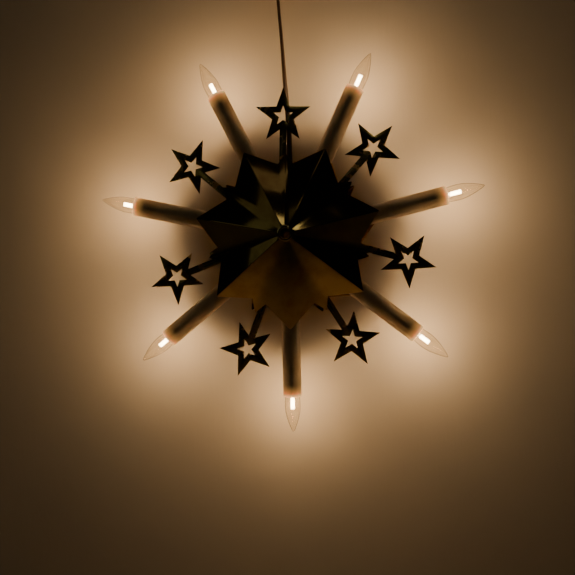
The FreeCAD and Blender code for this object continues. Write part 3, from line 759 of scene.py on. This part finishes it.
# %% [markdown]
# ## Nuts and the tube through the middle
# A hollow brass tube holds both stars to the drum. Its open end shows as a small dark hole in
# the middle of a round nut. Both are turned, with edges eased the way a lathe tool leaves them.

# %% Ring nuts and centre tube
TUBE_R = 5.0
TUBE_BORE_R = 4.2
NUT_R = 7.7
NUT_EASE = 0.4
nut_low, nut_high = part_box("front_ring_nut")
nut_start = STAR_CENTRE.y - nut_high[1]
nut_height = (nut_high[1] - nut_low[1]) / MM
nut = turned("ring_nut", [
    (TUBE_R, 0), (NUT_R - NUT_EASE, 0), (NUT_R, NUT_EASE), (NUT_R, nut_height - 1.0),
    (NUT_R - 0.25, nut_height - 0.45),
    (NUT_R - 0.9, nut_height - 0.08), (NUT_R - 1.3, nut_height), (TUBE_R + 0.5, nut_height),
    (TUBE_R + 0.15, nut_height - 0.12), (TUBE_R, nut_height - 0.4),
], hollow=True)
stands_for(face_side(copy_of(nut, "front_ring_nut_turned"), -1, start=nut_start), "front_ring_nut")
stands_for(face_side(copy_of(nut, "rear_ring_nut_turned"), 1, start=nut_start), "rear_ring_nut")
throw_away(nut)

tube_length = (tube_high[1] - tube_low[1]) / MM
tube = turned("centre_tube_turned", [
    (TUBE_BORE_R + 0.2, 0), (TUBE_R - 0.25, 0), (TUBE_R, 0.25), (TUBE_R, tube_length - 0.25),
    (TUBE_R - 0.25, tube_length), (TUBE_BORE_R + 0.2, tube_length), (TUBE_BORE_R, tube_length - 0.3),
    (TUBE_BORE_R, 0.3),
], hollow=True)
stands_for(face_side(tube, -1, start=-tube_length / 2 * MM), "centre_tube")
print("nuts at", round(nut_start / MM, 2), "mm")

# %% [markdown]
# ## Star arms
# Each arm is stamped from one millimetre sheet: a five-pointed star with a star cut out of its
# middle, a stem, and a round eye for the rivet. A disc of ten corners becomes a star when every
# second corner is pulled in. The stem and the eye are joined on first and the small star is cut
# out last, so that nothing reaches into its points. Then all the edges are eased.

# %% Pattern of one arm, with its pivot at the origin
ARM_THICKNESS = 1.0
ARM_LENGTH = 55.0
ARM_STAR_R = 28.0
ARM_CUTOUT_R = 10.2
INNER_SHARE = 0.40
STEM_WIDTH = 6.6
EYE_R = 5.0
RIVET_HOLE_R = 1.55
STAR_STEP = 36.0


def pull_in_corners(star, radius):
    """Pulls every second corner of a ten-cornered circle of this radius towards its middle."""
    middle = Vector((0, ARM_LENGTH * MM, 0))

    def is_inner(co):
        away = co - middle
        turn = round((math.degrees(math.atan2(away.y, away.x)) - 90.0) / STAR_STEP)
        return abs(away.length - radius * MM) < 0.1 * MM and turn % 2 == 1

    pick(star, is_inner)
    bpy.ops.transform.resize(value=(INNER_SHARE, INNER_SHARE, 1), center_override=middle)


def flat_star(name, radius, thickness):
    bpy.ops.object.select_all(action="DESELECT")
    bpy.ops.mesh.primitive_circle_add(vertices=10, radius=radius * MM, fill_type="NGON",
                                      location=(0, ARM_LENGTH * MM, 0))
    star = bpy.context.view_layer.objects.active
    star.name = name
    settle(star)
    edit(star)
    pull_in_corners(star, radius)
    done()
    apply_modifier(star, "SOLIDIFY", thickness=thickness * MM, offset=0.0)
    return star


arm = flat_star("arm_pattern", ARM_STAR_R, ARM_THICKNESS)
cut_out = flat_star("cut_out", ARM_CUTOUT_R, 3 * ARM_THICKNESS)

bpy.ops.object.select_all(action="DESELECT")
bpy.ops.mesh.primitive_cube_add(size=1.0)
stem = bpy.context.view_layer.objects.active
stem_length = ARM_LENGTH - ARM_CUTOUT_R * INNER_SHARE - 0.6
stem.scale = (STEM_WIDTH * MM, stem_length * MM, ARM_THICKNESS * MM)
stem.location = (0, stem_length / 2 * MM, 0)
settle(stem)
half = ARM_THICKNESS / 2
eye = turned("eye", [(EYE_R, -half), (EYE_R, half)])
rivet_hole = turned("rivet_hole", [(RIVET_HOLE_R, -ARM_THICKNESS), (RIVET_HOLE_R, ARM_THICKNESS)])
apply_modifier(arm, "BOOLEAN", object=stem, operation="UNION", solver="EXACT")
apply_modifier(arm, "BOOLEAN", object=eye, operation="UNION", solver="EXACT")
apply_modifier(arm, "BOOLEAN", object=rivet_hole, operation="DIFFERENCE", solver="EXACT")
apply_modifier(arm, "BOOLEAN", object=cut_out, operation="DIFFERENCE", solver="EXACT")
throw_away(stem, eye, rivet_hole, cut_out)
edit(arm)
bpy.ops.mesh.remove_doubles(threshold=0.001 * MM)
bpy.ops.mesh.dissolve_limited(angle_limit=math.radians(1.0))
done()
apply_modifier(arm, "BEVEL", width=RIM_EASE * MM, segments=2, limit_method="ANGLE",
               angle_limit=math.radians(40))
smooth(arm, 30.0)
print("arm pattern:", len(arm.data.polygons), "faces")

# %% [markdown]
# An arm's rest angle lies between the limits of its joint: the middle of the joint's range is
# the arm pointing straight out, so half their sum says how far it has been pushed aside.

# %% Copy the arm to its seven pivots
for k in range(POINTS):
    joint = JOINTS["arm_%d_swivel" % (k + 1)]
    pushed = -sum(joint["range_deg"]) / 2
    upright = Matrix.Rotation(math.radians(90.0), 4, "X")
    spun = Matrix.Rotation(math.radians(arm_angle(k) + pushed - 90.0), 4, "Z")
    twin = copy_of(arm, "star_arm_%d_stamped" % (k + 1))
    twin.matrix_world = Matrix.Translation(joint["pos_m"]) @ upright @ spun
    settle(twin)
    stands_for(twin, "star_arm_%d" % (k + 1))
throw_away(arm)
print("arms placed:", POINTS)

# %% [markdown]
# Each arm swings on a rivet with a domed head. The head shows between the folded stars, so it is
# turned with a real dome, and its tail is spread flat against the bracket.

# %% Arm rivets
HEAD_R = 3.0
SHANK_R = 1.5
rivet_low, rivet_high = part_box("arm_rivets")
rivet_length = (rivet_high[1] - rivet_low[1]) / MM
rivet = turned("rivet", [
    (HEAD_R - 0.6, 0), (HEAD_R - 0.5, 0.1), (HEAD_R - 0.5, 0.8), (HEAD_R - 0.7, 1.0), (SHANK_R, 1.0),
    (SHANK_R, rivet_length - 1.0), (HEAD_R, rivet_length - 1.0), (HEAD_R, rivet_length - 0.7),
    (HEAD_R - 0.5, rivet_length - 0.35), (HEAD_R - 1.4, rivet_length - 0.1), (0.5, rivet_length),
], segments=24)
for k in range(POINTS):
    pivot = Vector(JOINTS["arm_%d_swivel" % (k + 1)]["pos_m"])
    twin = copy_of(rivet, "arm_rivet_%d" % (k + 1))
    upright = Matrix.Rotation(math.radians(90.0), 4, "X")
    twin.matrix_world = Matrix.Translation((pivot.x, rivet_high[1], pivot.z)) @ upright
    settle(twin)
    stands_for(twin, "arm_rivets")
throw_away(rivet)
print("rivets:", POINTS)

# %% [markdown]
# ## Candles
# A candle is a plain ivory tube over a lampholder, with a screw-in bulb. The tube's mouth has a
# lip that was rounded when it was cut. All seven are the same, so one is turned and copied.

# %% Candle sleeves
sleeve_low, sleeve_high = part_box("candle_sleeve_1")
SLEEVE_R = (sleeve_high[0] - sleeve_low[0]) / 2 / MM
SLEEVE_BORE_R = SLEEVE_R - 1.0
sleeve_start, sleeve_end = reach("candle_sleeve_1", candle_angle(0))
sleeve_length = (sleeve_end - sleeve_start) / MM
LIP = 0.35
sleeve = turned("sleeve", [
    (SLEEVE_R - 0.15, 0), (SLEEVE_R, 0.15), (SLEEVE_R, sleeve_length / 3), (SLEEVE_R, sleeve_length * 2 / 3),
    (SLEEVE_R, sleeve_length - LIP), (SLEEVE_R - 0.1, sleeve_length - 0.1), (SLEEVE_R - LIP, sleeve_length),
    (SLEEVE_BORE_R + LIP, sleeve_length), (SLEEVE_BORE_R + 0.1, sleeve_length - 0.1),
    (SLEEVE_BORE_R, sleeve_length - LIP), (SLEEVE_BORE_R, sleeve_length / 2), (SLEEVE_BORE_R, 0),
], segments=64, hollow=True)
for k in range(POINTS):
    twin = copy_of(sleeve, "candle_sleeve_%d_turned" % (k + 1))
    stands_for(point_outwards(twin, candle_angle(k), sleeve_start), "candle_sleeve_%d" % (k + 1))
throw_away(sleeve)
print("sleeves of %.1f mm" % sleeve_length)

# %% [markdown]
# ### Bulbs
# The glass is blown in the shape of a flame and drawn to a point. Its profile goes up the
# outside and down the inside, so the wall has a real thickness and refracts as glass does.

# %% Glass of one bulb
GLASS_WALL = 0.45
FLAME = [
    (4.2, 0), (4.2, 2.6), (5.4, 3.5), (6.7, 4.5), (7.1, 5.8), (7.4, 8.0), (7.6, 11.0), (7.7, 14.5),
    (7.55, 18.0), (7.05, 21.5), (6.3, 25.0), (5.3, 28.5), (4.2, 31.8), (3.1, 34.8), (2.1, 37.3),
    (1.25, 39.2), (0.6, 40.1),
]
POLE = 0.004
inside = [(r - GLASS_WALL, z) for r, z in FLAME if r > 2 * GLASS_WALL]
glass = turned("glass", FLAME + [(0.25, 40.4), (POLE, 40.5), (POLE, 39.4)] + inside[::-1], hollow=True)
edit(glass)
bpy.ops.mesh.delete_loose()
done()
smooth(glass, 60.0)
print("glass:", len(glass.data.polygons), "faces")

# %% [markdown]
# The screw cap is thin brass rolled into a thread round a glass plug, with a lead contact at
# its end. The rolled thread's waves are soft, so the profile follows a cosine.

# %% Screw cap
CAP_R = 4.7
THREAD_DEPTH = 0.35
PITCH = 1.8
TURNS = 4
STEPS_PER_TURN = 6
PIP = 0.8
cap_rings = [(1.2, 0), (1.7, 0.15), (1.8, PIP), (3.5, PIP), (CAP_R - 0.7, PIP + 0.3)]
for n in range(TURNS * STEPS_PER_TURN + 1):
    wave = (1 - math.cos(2 * math.pi * n / STEPS_PER_TURN)) / 2
    cap_rings.append((CAP_R - THREAD_DEPTH * (1 - wave), PIP + 0.5 + PITCH * n / STEPS_PER_TURN))
cap_rings += [(CAP_R, 8.8), (CAP_R, 9.6), (CAP_R - 0.2, 9.8), (4.25, 9.8), (4.25, 7.3)]
cap = turned("cap", cap_rings)
print("cap:", len(cap.data.polygons), "faces")

# %% [markdown]
# Inside, a glass mount carries two lead wires that hold the filament. The filament is a coil,
# made with the Screw modifier: a tiny circle is swept round the axis while it climbs.

# %% Mount, lead wires and filament
COIL_R = 1.75
COIL_WIRE_R = 0.30
COIL_PITCH = 0.72
COIL_TURNS = 14
COIL_START = 7.5
mount = turned("mount", [
    (2.6, 0), (2.5, 1.0), (1.9, 3.0), (1.3, 4.8), (1.05, 6.0), (1.1, 6.6), (0.6, 6.9),
], segments=24)

bpy.ops.object.select_all(action="DESELECT")
bpy.ops.mesh.primitive_circle_add(vertices=8, radius=COIL_WIRE_R * MM, rotation=(math.pi / 2, 0, 0),
                                  location=(COIL_R * MM, 0, COIL_START * MM))
coil = bpy.context.view_layer.objects.active
coil.name = "filament"
settle(coil)
apply_modifier(coil, "SCREW", axis="Z", angle=2 * math.pi, screw_offset=COIL_PITCH * MM,
               iterations=COIL_TURNS, steps=14, render_steps=14)
edit(coil)
bpy.ops.mesh.select_all(action="DESELECT")
bpy.ops.mesh.select_mode(type="EDGE")
bpy.ops.mesh.select_non_manifold()
bpy.ops.mesh.fill_holes(sides=0)
done()
close_up(coil)
smooth(coil, 60.0)

LEAD_R = 0.2
LEAD_FOOT = 5.0
lead_end = COIL_START + COIL_PITCH * COIL_TURNS
leads = []
for side, top in ((1, COIL_START + 2 * LEAD_R), (-1, lead_end)):
    lead = turned("lead", [(LEAD_R, LEAD_FOOT), (LEAD_R, top)], segments=8)
    lead.location.x = side * COIL_R * MM
    settle(lead)
    leads.append(lead)
only(leads[0])
leads[1].select_set(True)
bpy.ops.object.join()
lead_wires = leads[0]
print("coil of", COIL_TURNS, "turns,", len(coil.data.polygons), "faces")

# %% Copy the bulb to its seven candles
INSIDE_PATTERNS = ((mount, "mount", GLASS), (coil, "filament", FILAMENT), (lead_wires, "lead_wires", STEEL))
filament_places = []
for k in range(POINTS):
    number = k + 1
    glass_start = reach("bulb_glass_%d" % number, candle_angle(k))[0]
    cap_start = reach("bulb_base_%d" % number, candle_angle(k))[0]
    twin = point_outwards(copy_of(glass, "bulb_%d_glass_blown" % number), candle_angle(k), glass_start)
    stands_for(twin, "bulb_glass_%d" % number)
    for pattern, name, finish in INSIDE_PATTERNS:
        twin = point_outwards(copy_of(pattern, "bulb_%d_%s" % (number, name)), candle_angle(k), glass_start)
        stands_for(twin, "bulb_glass_%d" % number, finish, hides=False)
    twin = point_outwards(copy_of(cap, "bulb_%d_screw_cap" % number), candle_angle(k), cap_start)
    stands_for(twin, "bulb_base_%d" % number)
    coil_middle = glass_start + (COIL_START + lead_end) / 2 * MM
    filament_places.append(STAR_CENTRE + ray(candle_angle(k)) * coil_middle)
throw_away(glass, mount, coil, lead_wires, cap)
print("bulbs placed:", POINTS)

# %% [markdown]
# ## Ceiling cup and cord grip
# The cup is spun brass with a round shoulder, and hangs mouth up against the ceiling. A screwed
# gland in its neck grips the flex. Both are turned about the line where the flex comes down.

# %% Ceiling cup
CUP_R = 26.0
CUP_NECK_R = 9.0
CUP_HEIGHT = 26.0
CUP_WALL = 1.6
CUP_HOLE_R = 5.7
SHOULDER_STEPS = 8


def shoulder(wall):
    """Rings of the cup's round shoulder, moved in by the wall."""
    round_r = CUP_R - CUP_NECK_R - wall
    rings = []
    for n in range(SHOULDER_STEPS + 1):
        turn = math.pi / 2 * n / SHOULDER_STEPS
        rings.append((CUP_NECK_R + round_r * math.sin(turn), wall + round_r * (1 - math.cos(turn))))
    return rings


cup = turned("ceiling_cup_spun", [(CUP_HOLE_R, 0), *shoulder(0.0), (CUP_R, CUP_HEIGHT - 0.8),
             (CUP_R - 0.3, CUP_HEIGHT), (CUP_R - CUP_WALL + 0.3, CUP_HEIGHT), *shoulder(CUP_WALL)[::-1],
             (CUP_HOLE_R, CUP_WALL)], segments=96, hollow=True)
cup.location.z = -CUP_HEIGHT * MM
settle(cup)
stands_for(cup, "ceiling_cup")
print("cup:", len(cup.data.polygons), "faces")

# %% Cord grip, with its grip ribs
GRIP_R = 5.6
GRIP_FLANGE_R = 8.0
FLANGE_T = 3.0
GROOVE = 0.35
GROOVE_STEP = 1.25
grip_low, grip_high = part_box("cord_grip")
grip_length = (grip_high[2] - grip_low[2]) / MM
flange_start = -CUP_HEIGHT - FLANGE_T - grip_low[2] / MM
grip_rings = [(3.6, 0), (4.0, 0.25), (4.9, 2.2), (GRIP_R, 3.0)]
for n in range(4):
    base = 3.4 + n * GROOVE_STEP
    if base + 1.0 < flange_start:
        grip_rings += [(GRIP_R, base), (GRIP_R - GROOVE, base + 0.3), (GRIP_R - GROOVE, base + 0.6),
                       (GRIP_R, base + 0.9)]
grip_rings += [
    (GRIP_R, flange_start), (GRIP_FLANGE_R - 0.4, flange_start), (GRIP_FLANGE_R, flange_start + 0.4),
    (GRIP_FLANGE_R, flange_start + FLANGE_T), (GRIP_R, flange_start + FLANGE_T), (GRIP_R, grip_length),
]
grip = turned("cord_grip_turned", grip_rings)
grip.location.z = grip_low[2]
settle(grip)
stands_for(grip, "cord_grip")
print("cord grip of %.1f mm" % grip_length)

# %% [markdown]
# ## Inner parts
# The drum, its tubes and nuts, the brackets and the lampholders already have their true shape
# in the frame, but with knife-sharp edges. A copy of each has its loose triangles merged, its
# flat areas joined, and its edges eased, and stands for the original.

# %% Ease the edges of a node's copy
def eased(node, width, degrees=35.0):
    mesh = frame["nodes"][node].data.copy()
    piece = bpy.data.objects.new(node + "_eased", mesh)
    bpy.context.scene.collection.objects.link(piece)
    edit(piece)
    bpy.ops.mesh.customdata_custom_splitnormals_clear()
    bpy.ops.mesh.remove_doubles(threshold=0.001 * MM)
    bpy.ops.mesh.dissolve_limited(angle_limit=math.radians(0.5))
    done()
    apply_modifier(piece, "BEVEL", width=width * MM, segments=2, limit_method="ANGLE",
                   angle_limit=math.radians(degrees))
    smooth(piece, 32.0)
    return stands_for(piece, node)


EASED_NODES = {
    "drum_cup": 0.3, "drum_lid": 0.3, "front_spacer": 0.15, "rear_spacer": 0.15, "candle_tubes": 0.12,
    "tube_nuts": 0.2, "sleeve_plugs": 0.2, "arm_brackets": 0.15, "bracket_rivets": 0.25,
    "terminal_block": 0.4, "terminal_screws": 0.2, "flex_bushing": 0.15, "ceiling_plate": 0.2,
    "ceiling_block": 0.5,
}
for node, width in EASED_NODES.items():
    piece = eased(node, width)
    print(piece.name, len(piece.data.polygons), "faces")
for k in range(POINTS):
    eased("lampholder_%d" % (k + 1), 0.2)

# %% [markdown]
# The wires keep the frame's own shape, which is already round, and only get their cover.

# %% Wires inside the drum
for node in ("series_wires", "supply_wires"):
    cad_node = frame["nodes"][node]
    cad_node.data.materials.clear()
    cad_node.data.materials.append(WIRE_COVER)
print("wires covered")

# %% [markdown]
# ## Room and light
# The lamp hangs just in front of a plain pale wall, over a pale floor. The wall's back is clear,
# so that the lamp can also be looked at from behind. Soft studio lights with dark space between
# them give the folds their light and dark, and the seven bulbs throw their halos on the wall.

# %% Wall and floor
WALL_BEHIND = 0.048
FLOOR_Z = -0.80
ROOM = 6.0


def stage_finish(name, colour):
    material, tree, shader, place, relief = new_finish(name, bump=0.6)
    patchy = [0.94 * c for c in colour[:3]] + [1]
    tone = use_group(tree, tarnish, place, Scale=3.0, Bright=colour, Dull=patchy, Polished=0.8, Clouded=0.95)
    grain = use_group(tree, sheet_surface, place, Wave_scale=60.0, Wave_depth=0.15, Scratch_scale=260.0,
                      Scratch_depth=0.25, Stretch=(1.0, 1.0, 0.12))
    clear = add(tree, "ShaderNodeBsdfTransparent")
    choose = add(tree, "ShaderNodeMixShader")
    side = add(tree, "ShaderNodeNewGeometry")
    wire(tree, tone.outputs["Color"], shader.inputs["Base Color"], tone.outputs["Roughness"],
         shader.inputs["Roughness"], grain.outputs["Height"], relief.inputs["Height"],
         side.outputs["Backfacing"], choose.inputs["Fac"], shader.outputs["BSDF"], choose.inputs[1],
         clear.outputs["BSDF"], choose.inputs[2],
         choose.outputs["Shader"], tree.nodes["Material Output"].inputs["Surface"])
    return material


def backdrop(name, location, rotation, colour):
    bpy.ops.object.select_all(action="DESELECT")
    bpy.ops.mesh.primitive_plane_add(size=ROOM, location=location, rotation=rotation)
    plane = bpy.context.view_layer.objects.active
    plane.name = name
    settle(plane)
    plane.data.materials.append(stage_finish(name, colour))
    plane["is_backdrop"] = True
    return plane


wall_y = STAR_CENTRE.y + WALL_BEHIND
backdrop("wall", (0, wall_y, FLOOR_Z + ROOM / 2), (math.pi / 2, 0, 0), (0.52, 0.45, 0.36, 1))
backdrop("floor", (0, wall_y - ROOM / 2, FLOOR_Z), (0, 0, 0), (0.66, 0.62, 0.56, 1))
print("wall at y = %.3f m" % wall_y)


# %% Studio lights
def soft_light(name, offset, size, power, colour):
    """An area light at an offset from the star's middle, aimed at it."""
    data = bpy.data.lights.new(name, "AREA")
    data.shape = "RECTANGLE"
    data.size, data.size_y = size
    data.energy = power
    data.color = colour
    light = bpy.data.objects.new(name, data)
    bpy.context.scene.collection.objects.link(light)
    light.location = STAR_CENTRE + Vector(offset)
    light.rotation_mode = "QUATERNION"
    light.rotation_quaternion = (-Vector(offset)).to_track_quat("-Z", "Y")
    return light


soft_light("left_high", (-1.3, -1.4, 0.9), (1.3, 1.3), 0.30, (0.86, 1.0, 0.72))
soft_light("right_low", (1.2, -1.2, -0.9), (0.9, 0.6), 0.07, (1.0, 0.36, 0.18))
soft_light("top", (0.2, -0.7, 1.6), (0.9, 0.5), 0.16, (1.0, 0.94, 0.84))
soft_light("ridge_glint", (0.22, -1.15, 0.78), (0.14, 0.14), 0.07, (0.92, 1.0, 0.86))

world = bpy.data.worlds.new("room")
world.use_nodes = True
world.node_tree.nodes["Background"].inputs["Color"].default_value = (0.0016, 0.0013, 0.0009, 1)
world.node_tree.nodes["Background"].inputs["Strength"].default_value = 1.0
bpy.context.scene.world = world

# %% Light of the bulbs
BULB_POWER = 0.17
FILAMENT_R = 2 * MM
for k, place in enumerate(filament_places):
    data = bpy.data.lights.new("bulb_light_%d" % (k + 1), "POINT")
    data.energy = BULB_POWER
    data.color = (1.0, 0.61, 0.29)
    data.shadow_soft_size = FILAMENT_R
    light = bpy.data.objects.new(data.name, data)
    bpy.context.scene.collection.objects.link(light)
    light.location = place
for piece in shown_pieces():
    if piece.data.materials and piece.data.materials[0] in (GLASS, FILAMENT):
        piece.visible_shadow = False
print("bulb lights:", len(filament_places))
